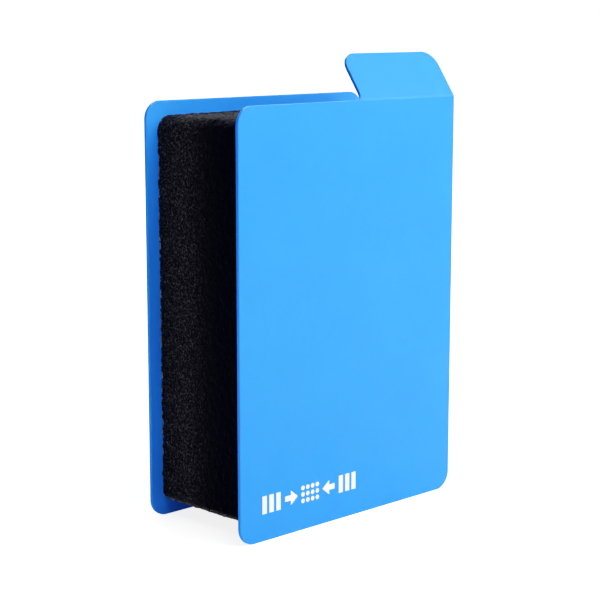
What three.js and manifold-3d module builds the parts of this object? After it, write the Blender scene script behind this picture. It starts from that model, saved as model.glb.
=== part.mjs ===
// Compressible card spacer: two polypropylene sheets glued to a block of open-cell foam,
// with a creased pull tab at the front sheet's top right corner.
//
// Units are millimetres. +X is the object's width, +Y runs from the front sheet to the back
// sheet, +Z is up. The origin is the middle of the footprint that the sheets stand on.
import * as THREE from 'three';
import { mergeVertices } from 'three/addons/utils/BufferGeometryUtils.js';
import Module from 'manifold-3d';

// ---- driving dimensions ------------------------------------------------------------------
const WIDTH = 66; // each sheet, left to right
const HEIGHT = 92; // each sheet, bottom edge to top edge, without the tab
const DEPTH = 30; // outer face to outer face, foam relaxed
const SHEET_THICKNESS = 0.75;
const SHEET_CORNER_RADIUS = 4;

const FOAM_MARGIN = 3; // the foam stops this far inside the sheets' edges, all round
const FOAM_CORNER_RADIUS = 3.3;

const FILM_THICKNESS = 0.25; // double-sided adhesive film on each face of the foam
const FILM_MARGIN = 1; // the film stops this far inside the foam's outline

const TAB_LEFT = 3.25; // the tab runs from here to the sheet's right edge
const TAB_LENGTH = 12; // crease line to top edge, on the tab's front face
const TAB_CORNER_RADIUS = 3.8;
const TAB_ROOT_FILLET = 1.8; // concave, where the tab's left edge meets the sheet's top edge
const TAB_LEAN = THREE.MathUtils.degToRad(35); // backwards from upright, at the crease
const CREASE_GAP = 0.3; // between the tab's rounded root and its seat in the front sheet
const ROOT_SHOULDER = 0.1; // the root's straight length beyond the fillet, and its height

const ARC_SEGMENTS = 12; // along each quarter-circle corner
const ROOT_SEGMENTS = 24; // round the tab's root

// ---- derived places ----------------------------------------------------------------------
const RIGHT_EDGE = WIDTH / 2;
const FRONT_FACE = -DEPTH / 2;
const BACK_FACE = DEPTH / 2;
const FOAM_WIDTH = WIDTH - 2 * FOAM_MARGIN;
const FOAM_HEIGHT = HEIGHT - 2 * FOAM_MARGIN;
const FOAM_DEPTH = DEPTH - 2 * (SHEET_THICKNESS + FILM_THICKNESS);
const FILM_WIDTH = FOAM_WIDTH - 2 * FILM_MARGIN;
const FILM_HEIGHT = FOAM_HEIGHT - 2 * FILM_MARGIN;
const FILM_CORNER_RADIUS = FOAM_CORNER_RADIUS - FILM_MARGIN;

// The crease axis is where the middle planes of the sheet and of the leaning tab meet, so
// both front faces meet in one line at the sheet's top edge.
const ROOT_RADIUS = SHEET_THICKNESS / 2;
const CREASE_Y = FRONT_FACE + ROOT_RADIUS;
const CREASE_DROP = ROOT_RADIUS * Math.tan(TAB_LEAN / 2);
const CREASE_Z = HEIGHT - CREASE_DROP;
const SEAT_Z = CREASE_Z - ROOT_RADIUS - CREASE_GAP;
const ROOT_LEFT = TAB_LEFT - TAB_ROOT_FILLET - ROOT_SHOULDER;
const SEAT_LEFT = ROOT_LEFT - CREASE_GAP;

// ---- materials ---------------------------------------------------------------------------
const blueSheet = new THREE.MeshStandardMaterial({ color: 0x48aafa, roughness: 0.45, metalness: 0 });
const blackFoam = new THREE.MeshStandardMaterial({ color: 0x101114, roughness: 0.95, metalness: 0 });
const clearFilm = new THREE.MeshStandardMaterial({ color: 0xd9dde0, roughness: 0.3, metalness: 0 });

// ---- shapes ------------------------------------------------------------------------------
/** A shape through its corners in order, each [x, z, radius] rounded by an arc if radius > 0. */
function roundedPolygon(corners) {
  const shape = new THREE.Shape();
  corners.forEach(([x, z, radius], index) => {
    const corner = new THREE.Vector2(x, z);
    const previous = corners.at(index - 1);
    const next = corners[(index + 1) % corners.length];
    const towardsPrevious = new THREE.Vector2(previous[0] - x, previous[1] - z).normalize();
    const towardsNext = new THREE.Vector2(next[0] - x, next[1] - z).normalize();
    const start = corner.clone().addScaledVector(towardsPrevious, radius);
    if (index === 0) {
      shape.moveTo(start.x, start.y);
    } else {
      shape.lineTo(start.x, start.y);
    }
    if (radius > 0) {
      // Every corner here is a right angle, so the tangent points lie one radius from it.
      const centre = start.clone().addScaledVector(towardsNext, radius);
      const startAngle = Math.atan2(start.y - centre.y, start.x - centre.x);
      const end = corner.clone().addScaledVector(towardsNext, radius);
      const endAngle = Math.atan2(end.y - centre.y, end.x - centre.x);
      const turn = towardsPrevious.cross(towardsNext);
      shape.absarc(centre.x, centre.y, radius, startAngle, endAngle, turn > 0);
    }
  });
  shape.closePath();
  return shape;
}

/** An outline drawn in X and Z, made solid from yFront back through the given depth. */
function uprightPlate(shape, yFront, depth) {
  const geometry = new THREE.ExtrudeGeometry(shape, {
    depth,
    bevelEnabled: false,
    curveSegments: ARC_SEGMENTS,
  });
  geometry.rotateX(Math.PI / 2);
  geometry.translate(0, yFront + depth, 0);
  return geometry;
}

/** A rectangle centred on X = 0 with four equal round corners. */
function roundedRectangle(width, zLow, zHigh, radius) {
  return roundedPolygon([
    [-width / 2, zLow, radius],
    [width / 2, zLow, radius],
    [width / 2, zHigh, radius],
    [-width / 2, zHigh, radius],
  ]);
}

// ---- solids by boolean -------------------------------------------------------------------
const wasm = await Module();
wasm.setup();

function toManifold(geometry) {
  const bare = geometry.clone();
  bare.deleteAttribute('normal');
  bare.deleteAttribute('uv');
  const merged = mergeVertices(bare, 1e-5);
  return new wasm.Manifold(new wasm.Mesh({
    numProp: 3,
    vertProperties: new Float32Array(merged.attributes.position.array),
    triVerts: new Uint32Array(merged.index.array),
  }));
}

function toGeometry(manifold) {
  const { numProp, vertProperties, triVerts } = manifold.getMesh();
  const positions = new Float32Array((vertProperties.length / numProp) * 3);
  for (let vertex = 0; vertex < positions.length / 3; vertex += 1) {
    for (let axis = 0; axis < 3; axis += 1) {
      positions[3 * vertex + axis] = vertProperties[numProp * vertex + axis];
    }
  }
  const geometry = new THREE.BufferGeometry();
  geometry.setAttribute('position', new THREE.BufferAttribute(positions, 3));
  geometry.setIndex(Array.from(triVerts));
  geometry.computeVertexNormals();
  return geometry;
}

// ---- sub-parts ---------------------------------------------------------------------------
function namedMesh(name, geometry, material) {
  const mesh = new THREE.Mesh(geometry, material);
  mesh.name = name;
  return mesh;
}

/** The back sheet: a plain rounded rectangle. */
function makeBackPanel() {
  const outline = roundedRectangle(WIDTH, 0, HEIGHT, SHEET_CORNER_RADIUS);
  const geometry = uprightPlate(outline, BACK_FACE - SHEET_THICKNESS, SHEET_THICKNESS);
  return namedMesh('back_panel', geometry, blueSheet);
}

/** The front sheet: its top is lowered along the crease, where the tab's root is seated. */
function makeFrontPanel() {
  const outline = roundedPolygon([
    [-RIGHT_EDGE, 0, SHEET_CORNER_RADIUS],
    [RIGHT_EDGE, 0, SHEET_CORNER_RADIUS],
    [RIGHT_EDGE, SEAT_Z, 0],
    [SEAT_LEFT, SEAT_Z, 0],
    [SEAT_LEFT, HEIGHT, 0],
    [-RIGHT_EDGE, HEIGHT, SHEET_CORNER_RADIUS],
  ]);
  return namedMesh('front_panel', uprightPlate(outline, FRONT_FACE, SHEET_THICKNESS), blueSheet);
}

/** The pull tab, modelled upright with its root on the X axis, then leaned back in place. */
function makePullTab() {
  // Along the leaning blade, the crease axis lies CREASE_DROP above the front crease line.
  const top = TAB_LENGTH - CREASE_DROP;
  const outline = roundedPolygon([
    [ROOT_LEFT, 0, 0],
    [RIGHT_EDGE, 0, 0],
    [RIGHT_EDGE, top, TAB_CORNER_RADIUS],
    [TAB_LEFT, top, TAB_CORNER_RADIUS],
    [TAB_LEFT, ROOT_SHOULDER, TAB_ROOT_FILLET],
    [ROOT_LEFT, ROOT_SHOULDER, 0],
  ]);
  const blade = uprightPlate(outline, -ROOT_RADIUS, SHEET_THICKNESS);
  const root = new THREE.CylinderGeometry(
    ROOT_RADIUS, ROOT_RADIUS, RIGHT_EDGE - ROOT_LEFT, ROOT_SEGMENTS,
  );
  root.rotateZ(Math.PI / 2);
  root.translate((ROOT_LEFT + RIGHT_EDGE) / 2, 0, 0);
  const tab = namedMesh('pull_tab', toGeometry(toManifold(blade).add(toManifold(root))), blueSheet);
  tab.rotation.x = -TAB_LEAN;
  tab.position.set(0, CREASE_Y, CREASE_Z);
  return tab;
}

/** The foam block: round corners seen from the front, square across its depth. */
function makeFoamBlock() {
  const outline = roundedRectangle(
    FOAM_WIDTH, FOAM_MARGIN, FOAM_MARGIN + FOAM_HEIGHT, FOAM_CORNER_RADIUS,
  );
  const geometry = uprightPlate(outline, -FOAM_DEPTH / 2, FOAM_DEPTH);
  return namedMesh('foam_block', geometry, blackFoam);
}

/** One adhesive film, between the foam and a sheet. */
function makeFilm(name, yFront) {
  const low = FOAM_MARGIN + FILM_MARGIN;
  const outline = roundedRectangle(FILM_WIDTH, low, low + FILM_HEIGHT, FILM_CORNER_RADIUS);
  return namedMesh(name, uprightPlate(outline, yFront, FILM_THICKNESS), clearFilm);
}

const spacer = new THREE.Group();
spacer.add(
  makeBackPanel(),
  makeFilm('back_adhesive', FOAM_DEPTH / 2),
  makeFoamBlock(),
  makeFilm('front_adhesive', -FOAM_DEPTH / 2 - FILM_THICKNESS),
  makeFrontPanel(),
  makePullTab(),
);

export default spacer;
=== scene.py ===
import math

import bmesh
import bpy
import numpy as np
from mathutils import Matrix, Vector, noise


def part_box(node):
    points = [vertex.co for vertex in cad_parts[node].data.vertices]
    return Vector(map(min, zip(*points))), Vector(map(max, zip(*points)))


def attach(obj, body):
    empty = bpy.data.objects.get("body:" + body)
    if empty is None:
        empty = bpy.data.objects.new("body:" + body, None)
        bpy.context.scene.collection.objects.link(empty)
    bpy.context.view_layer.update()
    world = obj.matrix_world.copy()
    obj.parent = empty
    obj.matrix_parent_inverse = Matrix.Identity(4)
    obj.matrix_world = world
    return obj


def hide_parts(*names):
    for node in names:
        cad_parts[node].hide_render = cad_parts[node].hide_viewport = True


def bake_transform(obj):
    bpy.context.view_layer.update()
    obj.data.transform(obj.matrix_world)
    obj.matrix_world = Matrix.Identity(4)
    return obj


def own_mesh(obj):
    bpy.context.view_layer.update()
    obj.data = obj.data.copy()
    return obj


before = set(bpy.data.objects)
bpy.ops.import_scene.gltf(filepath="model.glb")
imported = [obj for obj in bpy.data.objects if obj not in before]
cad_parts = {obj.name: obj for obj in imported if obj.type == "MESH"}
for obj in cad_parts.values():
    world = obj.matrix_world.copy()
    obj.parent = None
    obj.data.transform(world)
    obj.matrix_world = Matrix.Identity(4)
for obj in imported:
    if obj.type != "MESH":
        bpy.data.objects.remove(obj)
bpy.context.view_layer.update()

# A compressible card spacer: a block of black foam between two blue plastic sheets, the front
# one with a creased pull tab. Lengths are in metres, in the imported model's frame.
MM = 0.001

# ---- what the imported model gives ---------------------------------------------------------
FRONT_LOW, FRONT_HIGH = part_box("front_panel")
BACK_LOW, BACK_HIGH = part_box("back_panel")
TAB_LOW, TAB_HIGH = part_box("pull_tab")
FOAM_LOW, FOAM_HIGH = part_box("foam_block")

THICKNESS = FRONT_HIGH.y - FRONT_LOW.y
FRONT_FACE = FRONT_LOW.y
SHEET_TOP = FRONT_HIGH.z
SHEET_CORNER = 4.0 * MM
CORNER_STEPS = 24
RIM_FRONT = 0.14 * MM  # rounding of a sheet's cut edge, on its front face
RIM_BACK = 0.08 * MM  # and on its back face
RIM_STEPS = 3
RIM_SUPPORT = 0.3 * MM  # a flat band inside the rounding, which keeps the big faces' shading flat

# ---- the tab and its crease --------------------------------------------------------------
TAB_LEAN = math.radians(35)
TAB_CORNER = 3.8 * MM
TAB_ROOT_FILLET = 1.8 * MM  # where the sheet's top edge turns up into the tab
FILLET_STEPS = 8
ROOT_SHOULDER = 0.1 * MM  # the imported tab's root runs this much further left than the fillet
TAB_LEFT = TAB_LOW.x + TAB_ROOT_FILLET + ROOT_SHOULDER
CREASE_OUTER_RADIUS = 1.1 * MM
CREASE_MIDDLE_RADIUS = CREASE_OUTER_RADIUS - THICKNESS / 2
CREASE_SETBACK = CREASE_OUTER_RADIUS * math.tan(TAB_LEAN / 2)
CREASE_START = SHEET_TOP - CREASE_SETBACK  # where the flat sheet starts to turn
CREASE_ARC = CREASE_MIDDLE_RADIUS * TAB_LEAN
CREASE_SUPPORT = 0.5 * MM  # a flat band under the bend, which keeps the sheet's shading flat
CREASE_ROWS = 8  # cuts across the bend, so that it turns smoothly
CREASE_GROOVE = 0.12 * MM  # depth of the score on the inner side of the crease
CREASE_FADE = 1.2 * MM  # left of the tab, the bend fades out over this length
FADE_STEP = 0.3 * MM
FLEX_ROWS = 8  # cuts above the bend, where the sheet flexes when the tab turns
FLEX_STEP = 0.2 * MM
TAB_LENGTH = (TAB_HIGH.z - SHEET_TOP) / math.cos(TAB_LEAN)
TAB_TOP = CREASE_START + CREASE_ARC + TAB_LENGTH - CREASE_SETBACK  # along the unfolded sheet

# ---- the foam ----------------------------------------------------------------------------
FOAM_CORNER = 3.3 * MM
FOAM_STEP = 0.3 * MM
FOAM_SET_IN = 0.16 * MM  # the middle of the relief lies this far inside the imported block
FOAM_LIP = (BACK_LOW.y - FOAM_HIGH.y) * 0.9  # how far the foam's rim bulges round the film
RIM_INSET = 0.7 * MM  # from the foam's outline in to the foot of that rim
FACE_INSET = 0.9 * MM  # and in to the glued face
WAVE_HEIGHT = 0.1 * MM  # the relief of the cut faces
WAVES = 90  # to a metre, as every scale of noise and cells here
CRUMB_HEIGHT = 0.2 * MM
CRUMBS = 750
PORE_HEIGHT = 0.14 * MM
PORES = 1500
PORE_MIDDLE = 0.45  # distance to a pore's centre, in pores, that counts as the face's level
PORE_EDGE = 0.7  # and beyond which a strut's top is flat
STRUT_HEIGHT = 0.08 * MM
STRUT_CELL = 1.01  # cells to a mesh step, off 1 so that points seldom lie on a cell's wall

# Where the foam's flecks change: on its left side they fade towards the front sheet, a painted
# shade.
SHADE_START = 7 * MM  # depths from the foam's front face: hardly any flecks before the first,
SHADE_END = 21 * MM  # and all of them beyond the second
SIDE_START = 1 * MM  # from the left side inwards, where the other faces' even flecks begin
SIDE_END = 4 * MM
BACK_FRAY_AND_HIGHLIGHT = 0.25 * MM  # width of the frayed back rim with its painted highlight, and how far it goes beyond the block
BACK_HIGHLIGHT_BEYOND = 0.1 * MM
FOOT_START = 2.6 * MM  # height above the foam's bottom where the painted floor light on the bottom edge begins
FOOT_END = 0.6 * MM  # and where it is at its brightest


# ---- small helpers -----------------------------------------------------------------------
def add_object(name, bm):
    """A linked object from a bmesh, which is freed, with every face smooth."""
    mesh = bpy.data.meshes.new(name)
    bmesh.ops.recalc_face_normals(bm, faces=bm.faces)
    bm.to_mesh(mesh)
    bm.free()
    mesh.shade_smooth()
    obj = bpy.data.objects.new(name, mesh)
    bpy.context.scene.collection.objects.link(obj)
    return obj


def arc(centre, radius, start_deg, end_deg, steps, inward=False):
    """Points of an arc with their outward normals; inward is for a concave fillet."""
    sign = -1 if inward else 1
    made = []
    for step in range(steps + 1):
        angle = math.radians(start_deg + (end_deg - start_deg) * step / steps)
        direction = np.array([math.cos(angle), math.sin(angle)])
        made.append((np.array(centre) + radius * direction, sign * direction))
    return made


def smoothstep(value):
    clamped = min(1.0, max(0.0, value))
    return clamped * clamped * (3 - 2 * clamped)


# ---- materials ---------------------------------------------------------------------------
class Nodes:
    """A material's node tree, with a short way to add nodes and link them."""

    def __init__(self, name):
        self.material = bpy.data.materials.new(name)
        self.material.use_nodes = True
        self.tree = self.material.node_tree
        self.shader = self.tree.nodes["Principled BSDF"]
        self.place = self.add("ShaderNodeTexCoord").outputs["Object"]

    def add(self, kind, **values):
        """A new node; each value is a property of it or, with _ for a space, one of its inputs."""
        node = self.tree.nodes.new(kind)
        for key, value in values.items():
            if hasattr(node, key):
                setattr(node, key, value)
            else:
                node.inputs[key.replace("_", " ")].default_value = value
        return node

    def link(self, output, target):
        self.tree.links.new(output, target)

    def set(self, **values):
        """Constants on the shader's own inputs."""
        for key, value in values.items():
            self.shader.inputs[key.replace("_", " ")].default_value = value

    def noise(self, scale, detail=2.0, roughness=0.5):
        node = self.add("ShaderNodeTexNoise", Scale=scale, Detail=detail, Roughness=roughness)
        self.link(self.place, node.inputs["Vector"])
        return node.outputs["Fac"]

    def cells(self, scale):
        """The distance to the middle of the nearest cell."""
        node = self.add("ShaderNodeTexVoronoi", Scale=scale)
        self.link(self.place, node.inputs["Vector"])
        return node.outputs["Distance"]

    def ramp(self, factor, stops):
        """Colours or grey levels along a factor; stops are (position, value)."""
        node = self.add("ShaderNodeValToRGB")
        elements = node.color_ramp.elements
        while len(elements) < len(stops):
            elements.new(0.5)
        for element, (position, value) in zip(elements, stops):
            element.position = position
            element.color = (*value, 1) if isinstance(value, tuple) else (value, value, value, 1)
        self.link(factor, node.inputs["Fac"])
        return node.outputs["Color"]

    def combine(self, operation, first, second):
        node = self.add("ShaderNodeMath", operation=operation)
        self.link(first, node.inputs[0])
        self.link(second, node.inputs[1])
        return node.outputs["Value"]

    def multiply(self, first, second):
        return self.combine("MULTIPLY", first, second)

    def largest(self, first, second):
        return self.combine("MAXIMUM", first, second)

    def span(self, value, start, end, low, high):
        """A smooth step from low to high while the value goes from start to end."""
        node = self.add("ShaderNodeMapRange", interpolation_type="SMOOTHSTEP", From_Min=start,
                        From_Max=end, To_Min=low, To_Max=high)
        self.link(value, node.inputs["Value"])
        return node.outputs["Result"]

    def bump(self, height, strength, distance, before=None):
        node = self.add("ShaderNodeBump", Strength=strength, Distance=distance)
        self.link(height, node.inputs["Height"])
        if before is not None:
            self.link(before, node.inputs["Normal"])
        return node.outputs["Normal"]


def sheet_material(name, blue):
    """Blue polypropylene with a satin face: fine calendered grain and slow changes of gloss."""
    n = Nodes(name)
    lighter = tuple(channel * 1.04 for channel in blue)
    n.link(n.ramp(n.noise(scale=60, detail=3), [(0.3, blue), (0.7, lighter)]),
           n.shader.inputs["Base Color"])
    n.link(n.ramp(n.noise(scale=140, detail=4), [(0.3, 0.40), (0.7, 0.48)]),
           n.shader.inputs["Roughness"])
    grain = n.bump(n.noise(scale=4200), strength=0.35, distance=0.006 * MM)
    n.link(n.bump(n.noise(scale=700), strength=0.15, distance=0.01 * MM, before=grain),
           n.shader.inputs["Normal"])
    n.set(IOR=1.49, Specular_IOR_Level=0.25, Subsurface_Weight=0.3,
          Subsurface_Radius=(0.2, 0.6, 1.0), Subsurface_Scale=1.0 * MM)
    return n.material


def foam_flecks(n, pores):
    """How bright the foam is at each place, from 0 in a pore to 1 on a torn strut.

    The left side's flecks fade towards the front sheet. The photograph shows that side in the
    front sheet's shade, and part of that shade is painted here. The back edge is frayed and
    brighter with a painted highlight; the bottom edge's struts are brighter with painted floor
    light.
    """
    struts = n.ramp(pores, [(0.30, 0.35), (0.75, 1.0)])
    torn = n.ramp(n.noise(scale=2600, detail=3, roughness=0.7), [(0.48, 0.3), (0.66, 0.9)])
    place = n.add("ShaderNodeSeparateXYZ")
    n.link(n.place, place.inputs[0])
    # Painted shade: the left side's flecks dim towards the front sheet.
    out_of_shade = n.span(place.outputs["Y"], start=FOAM_LOW.y + SHADE_START,
                          end=FOAM_LOW.y + SHADE_END, low=0.05, high=1.0)
    other_faces = n.span(place.outputs["X"], start=FOAM_LOW.x + SIDE_START,
                         end=FOAM_LOW.x + SIDE_END, low=0, high=0.75)
    flecks = n.multiply(n.multiply(struts, torn), n.largest(out_of_shade, other_faces))
    ends = n.ramp(n.noise(scale=900, detail=3), [(0.42, 0.0), (0.58, 1.0)])
    # Painted light: a highlight on the frayed back rim, and floor light on the bottom edge's
    # struts.
    back_rim = n.span(place.outputs["Y"], start=FOAM_HIGH.y - BACK_FRAY_AND_HIGHLIGHT,
                      end=FOAM_HIGH.y + BACK_HIGHLIGHT_BEYOND, low=0, high=1.5)
    foot = n.span(place.outputs["Z"], start=FOAM_LOW.z + FOOT_START,
                  end=FOAM_LOW.z + FOOT_END, low=0, high=2.4)
    frayed_and_lit = n.largest(n.multiply(ends, back_rim), n.multiply(struts, n.multiply(torn, foot)))
    return n.largest(flecks, frayed_and_lit)


def foam_material():
    """Black open-cell foam: dark pores, thin struts and torn bright ends; painted shade on its left
    side, painted light on its back and bottom edges.
    """
    n = Nodes("black_open_cell_foam")
    pores = n.cells(scale=1900)
    n.link(n.ramp(foam_flecks(n, pores),
                  [(0.0, (0.0030, 0.0032, 0.0170)), (0.07, (0.0080, 0.0080, 0.0155)),
                   (0.2, (0.0165, 0.0160, 0.0240)), (0.85, (0.125, 0.123, 0.135)),
                   (1.0, (0.38, 0.36, 0.35))]),
           n.shader.inputs["Base Color"])
    n.link(n.ramp(n.noise(scale=900, detail=3), [(0.35, 0.85), (0.7, 0.5)]),
           n.shader.inputs["Roughness"])
    coarse = n.bump(pores, strength=0.8, distance=0.15 * MM)
    fine = n.noise(scale=5200, detail=3, roughness=0.7)
    n.link(n.bump(fine, strength=0.7, distance=0.05 * MM, before=coarse),
           n.shader.inputs["Normal"])
    n.set(IOR=1.45, Specular_IOR_Level=0.05, Sheen_Weight=0.08, Sheen_Roughness=0.35)
    return n.material


def film_material():
    """Clear adhesive film with a faint unevenness."""
    n = Nodes("clear_adhesive_film")
    n.link(n.ramp(n.noise(scale=300, detail=3),
                  [(0.3, (0.55, 0.57, 0.58)), (0.7, (0.68, 0.70, 0.71))]),
           n.shader.inputs["Base Color"])
    n.link(n.bump(n.noise(scale=1500), strength=0.3, distance=0.02 * MM),
           n.shader.inputs["Normal"])
    n.set(Roughness=0.3)
    return n.material


def ink_material():
    """White screen print, slightly uneven over the sheet's grain."""
    n = Nodes("white_ink")
    n.link(n.ramp(n.noise(scale=900, detail=3),
                  [(0.3, (0.90, 0.91, 0.91)), (0.7, (0.94, 0.95, 0.94))]),
           n.shader.inputs["Base Color"])
    n.link(n.bump(n.noise(scale=4200), strength=0.3, distance=0.006 * MM),
           n.shader.inputs["Normal"])
    n.set(Roughness=0.55)
    return n.material


# ---- sheets ------------------------------------------------------------------------------
def rimmed_plate(outline, y_front):
    """A plate with that outline and rounded cut edges, its faces in planes of constant y."""
    profile = [(RIM_FRONT + RIM_SUPPORT, 0)]
    for step in range(RIM_STEPS + 1):
        angle = math.radians(90 * step / RIM_STEPS)
        profile.append((RIM_FRONT * (1 - math.sin(angle)), RIM_FRONT * (1 - math.cos(angle))))
    for step in range(RIM_STEPS + 1):
        angle = math.radians(90 * step / RIM_STEPS)
        profile.append((RIM_BACK * (1 - math.cos(angle)),
                        THICKNESS - RIM_BACK * (1 - math.sin(angle))))
    profile.append((RIM_BACK + RIM_SUPPORT, THICKNESS))
    bm = bmesh.new()
    rings = []
    for inset, depth in profile:
        ring = []
        for point, normal in outline:
            x, z = point - inset * normal
            ring.append(bm.verts.new((x, y_front + depth, z)))
        rings.append(ring)
    for ring, following in zip(rings, rings[1:]):
        for i in range(len(ring)):
            j = (i + 1) % len(ring)
            bm.faces.new((ring[i], ring[j], following[j], following[i]))
    bm.faces.new(rings[0])
    bm.faces.new(list(reversed(rings[-1])))
    return bm


def back_outline(low, high):
    """The back sheet, round at all four corners."""
    r = SHEET_CORNER
    return [
        *arc((low.x + r, low.z + r), r, 180, 270, CORNER_STEPS),
        *arc((high.x - r, low.z + r), r, 270, 360, CORNER_STEPS),
        *arc((high.x - r, high.z - r), r, 0, 90, CORNER_STEPS),
        *arc((low.x + r, high.z - r), r, 90, 180, CORNER_STEPS),
    ]


def front_outline(low, high):
    """The front sheet with its tab unfolded upwards."""
    r, t, f = SHEET_CORNER, TAB_CORNER, TAB_ROOT_FILLET
    left = TAB_LEFT
    return [
        *arc((low.x + r, low.z + r), r, 180, 270, CORNER_STEPS),
        *arc((high.x - r, low.z + r), r, 270, 360, CORNER_STEPS),
        *arc((high.x - t, TAB_TOP - t), t, 0, 90, CORNER_STEPS),
        *arc((left + t, TAB_TOP - t), t, 90, 180, CORNER_STEPS),
        *arc((left - f, SHEET_TOP + f), f, 360, 270, FILLET_STEPS, inward=True),
        *arc((low.x + r, SHEET_TOP - r), r, 90, 180, CORNER_STEPS),
    ]


def cut_rows(bm, axis, places, above=-1.0):
    """Cuts the mesh by planes across an axis, above a height only."""
    normal = [0, 0, 0]
    normal[axis] = 1
    for place in places:
        point = [0, 0, 0]
        point[axis] = place
        faces = [face for face in bm.faces if min(vert.co.z for vert in face.verts) >= above]
        edges = [edge for face in faces for edge in face.edges]
        verts = [vert for face in faces for vert in face.verts]
        bmesh.ops.bisect_plane(bm, geom=list({*faces, *edges, *verts}), dist=1e-7,
                               plane_co=point, plane_no=normal)


def crease_bend(point):
    """Where a point of the unfolded front sheet lies once the tab leans back."""
    along = point.z - CREASE_START
    if along <= 0:
        return point
    share = smoothstep((point.x - TAB_LEFT) / CREASE_FADE + 1)
    lean = TAB_LEAN * share
    arc_length = CREASE_MIDDLE_RADIUS * lean
    if lean < 1e-6:
        return point
    depth = point.y - FRONT_FACE
    turned = min(along, arc_length) / CREASE_MIDDLE_RADIUS
    groove = math.sin(math.pi * min(1.0, along / CREASE_ARC)) ** 2 * share
    depth -= CREASE_GROOVE * groove * smoothstep((depth / THICKNESS - 0.5) * 2)
    beyond = max(0.0, along - arc_length)
    radius = CREASE_OUTER_RADIUS - depth
    y = FRONT_FACE + CREASE_OUTER_RADIUS - radius * math.cos(turned) + beyond * math.sin(lean)
    z = CREASE_START + radius * math.sin(turned) + beyond * math.cos(lean)
    return Vector((point.x, y, z))


def make_front_sheet(material):
    bm = rimmed_plate(front_outline(FRONT_LOW, FRONT_HIGH), FRONT_FACE)
    crease_rows = [CREASE_START + CREASE_ARC * i / CREASE_ROWS for i in range(CREASE_ROWS + 1)]
    flex_rows = [crease_rows[-1] + FLEX_STEP * i for i in range(1, FLEX_ROWS + 1)]
    cut_rows(bm, 2, [CREASE_START - CREASE_SUPPORT, *crease_rows, *flex_rows])
    fade_rows = [TAB_LEFT - FADE_STEP * i for i in range(round(CREASE_FADE / FADE_STEP) + 1)]
    cut_rows(bm, 0, fade_rows, above=CREASE_START - 0.1 * MM)
    for vert in bm.verts:
        vert.co = crease_bend(vert.co.copy())
    sheet = add_object("front_sheet", bm)
    sheet.data.materials.append(material)
    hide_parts("front_panel", "pull_tab")
    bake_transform(sheet)


def make_back_sheet(material):
    sheet = add_object("back_sheet", rimmed_plate(back_outline(BACK_LOW, BACK_HIGH), BACK_LOW.y))
    sheet.data.materials.append(material)
    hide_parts("back_panel")
    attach(sheet, "back")


# ---- foam --------------------------------------------------------------------------------
def foam_profile():
    """Evenly spaced points round the foam's outline, each with its outward normal."""
    r = FOAM_CORNER
    straight_x = FOAM_HIGH.x - FOAM_LOW.x - 2 * r
    straight_z = FOAM_HIGH.z - FOAM_LOW.z - 2 * r
    quarter = math.pi * r / 2
    length = 2 * (straight_x + straight_z) + 4 * quarter
    count = round(length / FOAM_STEP)
    runs = [
        # each straight run's start, direction and length; a quarter turn follows it
        ((FOAM_LOW.x + r, FOAM_LOW.z), (1, 0), straight_x),
        ((FOAM_HIGH.x, FOAM_LOW.z + r), (0, 1), straight_z),
        ((FOAM_HIGH.x - r, FOAM_HIGH.z), (-1, 0), straight_x),
        ((FOAM_LOW.x, FOAM_HIGH.z - r), (0, -1), straight_z),
    ]
    points = []
    for step in range(count):
        left = length * step / count
        for start, direction, run in runs:
            start, direction = np.array(start), np.array(direction, float)
            normal = np.array([direction[1], -direction[0]])
            if left < run:
                points.append((start + direction * left, normal))
                break
            left -= run
            if left < quarter:
                angle = left / r
                turned = normal * math.cos(angle) + direction * math.sin(angle)
                centre = start + direction * run - normal * r
                points.append((centre + turned * r, turned))
                break
            left -= quarter
    return points


def foam_relief(point):
    """How far the cut foam stands in or out at a point: slow waves, crumbs, pores and struts."""
    wave = noise.noise(point * WAVES) * WAVE_HEIGHT
    crumb = noise.noise(point * CRUMBS) * CRUMB_HEIGHT
    pore = (min(noise.voronoi(point * PORES)[0][0], PORE_EDGE) - PORE_MIDDLE) * PORE_HEIGHT
    strut = noise.cell(point / FOAM_STEP * STRUT_CELL) * STRUT_HEIGHT
    return wave + crumb + pore + strut - FOAM_SET_IN


def make_foam(material):
    """The block as rows of points round its outline, one row at each step of depth."""
    profile = foam_profile()
    depth_low, depth_high = FOAM_LOW.y - FOAM_LIP, FOAM_HIGH.y + FOAM_LIP
    rows = round((depth_high - depth_low) / FOAM_STEP)
    verts = []
    for row in range(rows + 1):
        y = depth_low + (depth_high - depth_low) * row / rows
        for (x, z), (nx, nz) in profile:
            point = Vector((x, y, z))
            verts.append(point + Vector((nx, 0, nz)) * foam_relief(point))
    count = len(profile)
    faces = [
        (row * count + i, row * count + (i + 1) % count,
         (row + 1) * count + (i + 1) % count, (row + 1) * count + i)
        for row in range(rows) for i in range(count)
    ]
    # Each end steps in round the adhesive film: a rim against the sheet, then the glued face.
    for end_row, lip_y, face_y in ((0, depth_low, FOAM_LOW.y), (rows, depth_high, FOAM_HIGH.y)):
        previous = [end_row * count + i for i in range(count)]
        for inset, y in ((RIM_INSET, lip_y), (FACE_INSET, face_y)):
            ring = []
            for (x, z), (nx, nz) in profile:
                ring.append(len(verts))
                verts.append(Vector((x - nx * inset, y, z - nz * inset)))
            faces += [
                (previous[i], ring[i], ring[(i + 1) % count], previous[(i + 1) % count])
                for i in range(count)
            ]
            previous = ring
        faces.append(tuple(previous))
    mesh = bpy.data.meshes.new("foam")
    mesh.from_pydata(verts, [], faces)
    mesh.validate()
    bm = bmesh.new()
    bm.from_mesh(mesh)
    bpy.data.meshes.remove(mesh)
    foam = add_object("foam", bm)
    foam.data.materials.append(material)
    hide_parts("foam_block")
    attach(foam, "back")
    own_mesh(foam)


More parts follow.
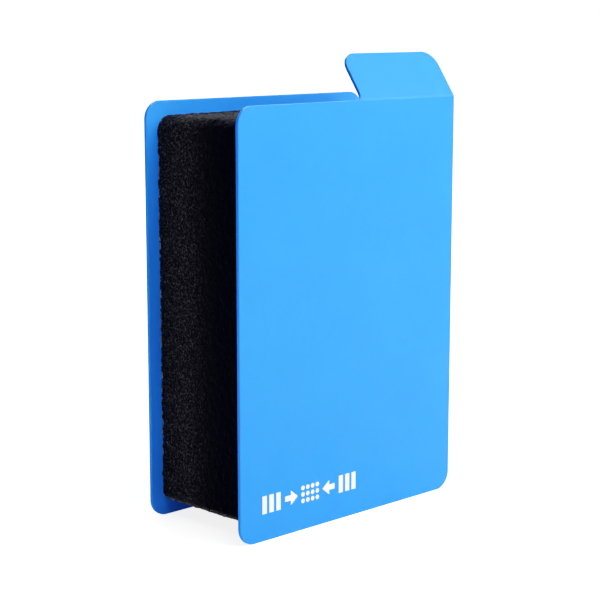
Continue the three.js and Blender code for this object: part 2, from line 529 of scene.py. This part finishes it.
# ---- printed mark ------------------------------------------------------------------------
MARK_LEFT = FRONT_LOW.x + 6.3 * MM
MARK_BASE = 6.0 * MM
MARK_HEIGHT = 3.9 * MM
INK = 0.02 * MM
BAR_COUNT = 3
BAR_WIDTH = 1.25 * MM
BAR_GAP = 0.75 * MM
ARROW_LENGTH = 3.7 * MM
ARROW_HEAD = 2.0 * MM
ARROW_HALF = 1.6 * MM  # half the head's height
SHAFT_HALF = 0.6 * MM
DOT_RADIUS = 0.5 * MM
DOT_COLUMNS = 4
DOT_ROWS = 3
DOT_SIDES = 24
BAR_TO_ARROW = 1.35 * MM
ARROW_TO_DOTS = 1.1 * MM


def mark_shapes():
    """Flat outlines of a pictogram: cards pressed together from both sides against foam."""
    shapes = []

    def add_bars(x):
        for _ in range(BAR_COUNT):
            right = x + BAR_WIDTH
            shapes.append([(x, 0), (right, 0), (right, MARK_HEIGHT), (x, MARK_HEIGHT)])
            x = right + BAR_GAP
        return x - BAR_GAP

    def add_arrow(x, pointing):
        neck = ARROW_LENGTH - ARROW_HEAD
        points = [(0, SHAFT_HALF), (neck, SHAFT_HALF), (neck, ARROW_HALF), (ARROW_LENGTH, 0),
                  (neck, -ARROW_HALF), (neck, -SHAFT_HALF), (0, -SHAFT_HALF)]
        if pointing < 0:
            points = [(ARROW_LENGTH - px, pz) for px, pz in reversed(points)]
        shapes.append([(x + px, MARK_HEIGHT / 2 + pz) for px, pz in reversed(points)])
        return x + ARROW_LENGTH

    def add_dots(x):
        pitch = (MARK_HEIGHT - 2 * DOT_RADIUS) / (DOT_ROWS - 1)
        last = 360 - 360 / DOT_SIDES
        for column in range(DOT_COLUMNS):
            for row in range(DOT_ROWS):
                centre = (x + DOT_RADIUS + column * pitch, DOT_RADIUS + row * pitch)
                round_points = arc(centre, DOT_RADIUS, 0, last, DOT_SIDES - 1)
                shapes.append([tuple(point) for point, _ in round_points])
        return x + 2 * DOT_RADIUS + (DOT_COLUMNS - 1) * pitch

    x = add_bars(MARK_LEFT) + BAR_TO_ARROW
    x = add_arrow(x, 1) + ARROW_TO_DOTS
    x = add_dots(x) + ARROW_TO_DOTS
    x = add_arrow(x, -1) + BAR_TO_ARROW
    add_bars(x)
    return shapes


def make_mark(material):
    """The mark's outlines as a thin layer of ink, sunk a little into the sheet."""
    bm = bmesh.new()
    for shape in mark_shapes():
        front = [bm.verts.new((x, FRONT_FACE - INK, MARK_BASE + z)) for x, z in shape]
        back = [bm.verts.new((x, FRONT_FACE + INK / 4, MARK_BASE + z)) for x, z in shape]
        bm.faces.new(front)
        bm.faces.new(list(reversed(back)))
        for i in range(len(shape)):
            j = (i + 1) % len(shape)
            bm.faces.new((front[j], front[i], back[i], back[j]))
    mark = add_object("printed_mark", bm)
    mark.data.shade_flat()
    mark.data.materials.append(material)
    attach(mark, "front")


# ---- floor, light and camera -------------------------------------------------------------
ROOM = 0.06  # brightness of the room all round, where 1 is white
FLOOR_RADIUS = 4.0
FLOOR_SIDES = 96
FLOOR_BELOW = 0.02 * MM  # the floor lies this much below the sheets' bottom edges
FLOOR_GLOW = 0.12  # the white floor's own brightness, as the object receives it
FLOOR_NEAR = 0.68  # and as the camera sees it, under the object and far away
FLOOR_FAR = 1.0
NEAR_REACH = 0.1  # distances from the object's middle where near ends and far begins
FAR_REACH = 0.6
LIGHT_TARGET = Vector((0, 0, 0.05))
TONE_CONTRAST = 1.5  # the camera's tone curve: steepness, and the level that it turns at
TONE_TURN = 0.48
TONE_STEPS = 12
CAMERA_AZIMUTH = -43.93  # degrees, the viewpoint as fitted to the photograph
CAMERA_ELEVATION = 9.93
CAMERA_TARGET = Vector((-15.70, -15.0, 50.71)) * MM
CAMERA_DISTANCE = 344.27 * MM
CAMERA_LENS = 97.8  # millimetres, on a sensor 36 wide
CAMERA_SENSOR = 36


def make_floor():
    """A round white floor, which the camera sees brighter than the object does."""
    bm = bmesh.new()
    bmesh.ops.create_circle(bm, cap_ends=True, radius=FLOOR_RADIUS, segments=FLOOR_SIDES)
    floor = add_object("floor", bm)
    floor.location.z = -FLOOR_BELOW
    n = Nodes("pale_floor")
    n.link(n.ramp(n.noise(scale=3), [(0.3, 0.84), (0.7, 0.86)]), n.shader.inputs["Base Color"])
    distance = n.add("ShaderNodeVectorMath", operation="LENGTH")
    n.link(n.place, distance.inputs[0])
    glow = n.span(distance.outputs["Value"], start=NEAR_REACH, end=FAR_REACH,
                  low=FLOOR_NEAR, high=FLOOR_FAR)
    strength = n.add("ShaderNodeMix", A=FLOOR_GLOW)
    n.link(n.add("ShaderNodeLightPath").outputs["Is Camera Ray"], strength.inputs["Factor"])
    n.link(glow, strength.inputs["B"])
    n.link(strength.outputs["Result"], n.shader.inputs["Emission Strength"])
    n.set(Roughness=0.9, Emission_Color=(1, 1, 1, 1))
    floor.data.materials.append(n.material)


def towards(azimuth, elevation):
    """The direction to a place seen from the object: 0 is the front, 90 its right side."""
    around, up = math.radians(azimuth), math.radians(elevation)
    return Vector((math.sin(around) * math.cos(up), -math.cos(around) * math.cos(up), math.sin(up)))


def add_softbox(name, azimuth, elevation, distance, size, level):
    """A square light aimed at the object's middle; at level 1 it makes a white face white."""
    light = bpy.data.lights.new(name, "AREA")
    light.shape = "SQUARE"
    light.size = size
    light.energy = level * (math.pi * distance) ** 2
    obj = bpy.data.objects.new(name, light)
    obj.location = LIGHT_TARGET + towards(azimuth, elevation) * distance
    obj.rotation_euler = (LIGHT_TARGET - obj.location).to_track_quat("-Z", "Y").to_euler()
    bpy.context.scene.collection.objects.link(obj)


def make_room():
    """An even room, dim on the object, which the camera sees as pure white."""
    world = bpy.data.worlds.new("white_room")
    bpy.context.scene.world = world
    world.use_nodes = True
    tree = world.node_tree
    background = tree.nodes["Background"]
    background.inputs["Color"].default_value = (1, 1, 1, 1)
    seen = tree.nodes.new("ShaderNodeLightPath").outputs["Is Camera Ray"]
    strength = tree.nodes.new("ShaderNodeMix")
    tree.links.new(seen, strength.inputs["Factor"])
    strength.inputs["A"].default_value = ROOM
    strength.inputs["B"].default_value = 1.0
    tree.links.new(strength.outputs["Result"], background.inputs["Strength"])


def make_light():
    add_softbox("key", azimuth=38, elevation=34, distance=0.45, size=0.30, level=0.42)
    add_softbox("side", azimuth=60, elevation=20, distance=0.45, size=0.25, level=0.09)
    add_softbox("front_top", azimuth=10, elevation=42, distance=0.45, size=0.25, level=0.17)
    add_softbox("top", azimuth=20, elevation=60, distance=0.45, size=0.25, level=0.23)
    add_softbox("left_top", azimuth=-15, elevation=45, distance=0.9, size=0.4, level=0.23)
    add_softbox("back_right", azimuth=150, elevation=40, distance=0.9, size=0.5, level=0.36)
    add_softbox("back_left", azimuth=-150, elevation=40, distance=0.9, size=0.5, level=0.12)


def make_tone():
    """A camera's contrast: soft in the highlights, deep in the shadows."""
    view = bpy.context.scene.view_settings
    view.view_transform = "Standard"
    view.use_curve_mapping = True
    curve = view.curve_mapping.curves[3]  # the one for all three channels together
    turn = TONE_TURN ** TONE_CONTRAST
    for step in range(1, TONE_STEPS):
        level = (step / TONE_STEPS) ** 2
        raised = level ** TONE_CONTRAST
        curve.points.new(level, raised * (1 + turn) / (raised + turn))
    view.curve_mapping.update()


def make_camera():
    """The viewpoint: in front, to the left and a little above, through a long lens."""
    away = towards(CAMERA_AZIMUTH, CAMERA_ELEVATION)
    camera = bpy.data.cameras.new("camera")
    camera.lens = CAMERA_LENS
    camera.sensor_width = CAMERA_SENSOR
    camera.clip_start = 0.01
    obj = bpy.data.objects.new("camera", camera)
    obj.location = CAMERA_TARGET + away * CAMERA_DISTANCE
    obj.rotation_euler = (-away).to_track_quat("-Z", "Y").to_euler()
    bpy.context.scene.collection.objects.link(obj)
    bpy.context.scene.camera = obj


def finish_cad_nodes(material):
    """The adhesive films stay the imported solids, with a material of their own."""
    for name in ("front_adhesive", "back_adhesive"):
        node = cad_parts[name]
        node.data.materials.clear()
        node.data.materials.append(material)


# The back sheet is the same plastic as the front; its slightly lighter blue is painted light,
# fitted to its brightness in the photograph.
make_front_sheet(sheet_material("blue_polypropylene_front", (0.041, 0.265, 0.89)))
make_back_sheet(sheet_material("blue_polypropylene_back_painted_lighter", (0.047, 0.284, 0.89)))
make_foam(foam_material())
make_mark(ink_material())
finish_cad_nodes(film_material())
make_floor()
make_room()
make_light()
make_tone()
make_camera()
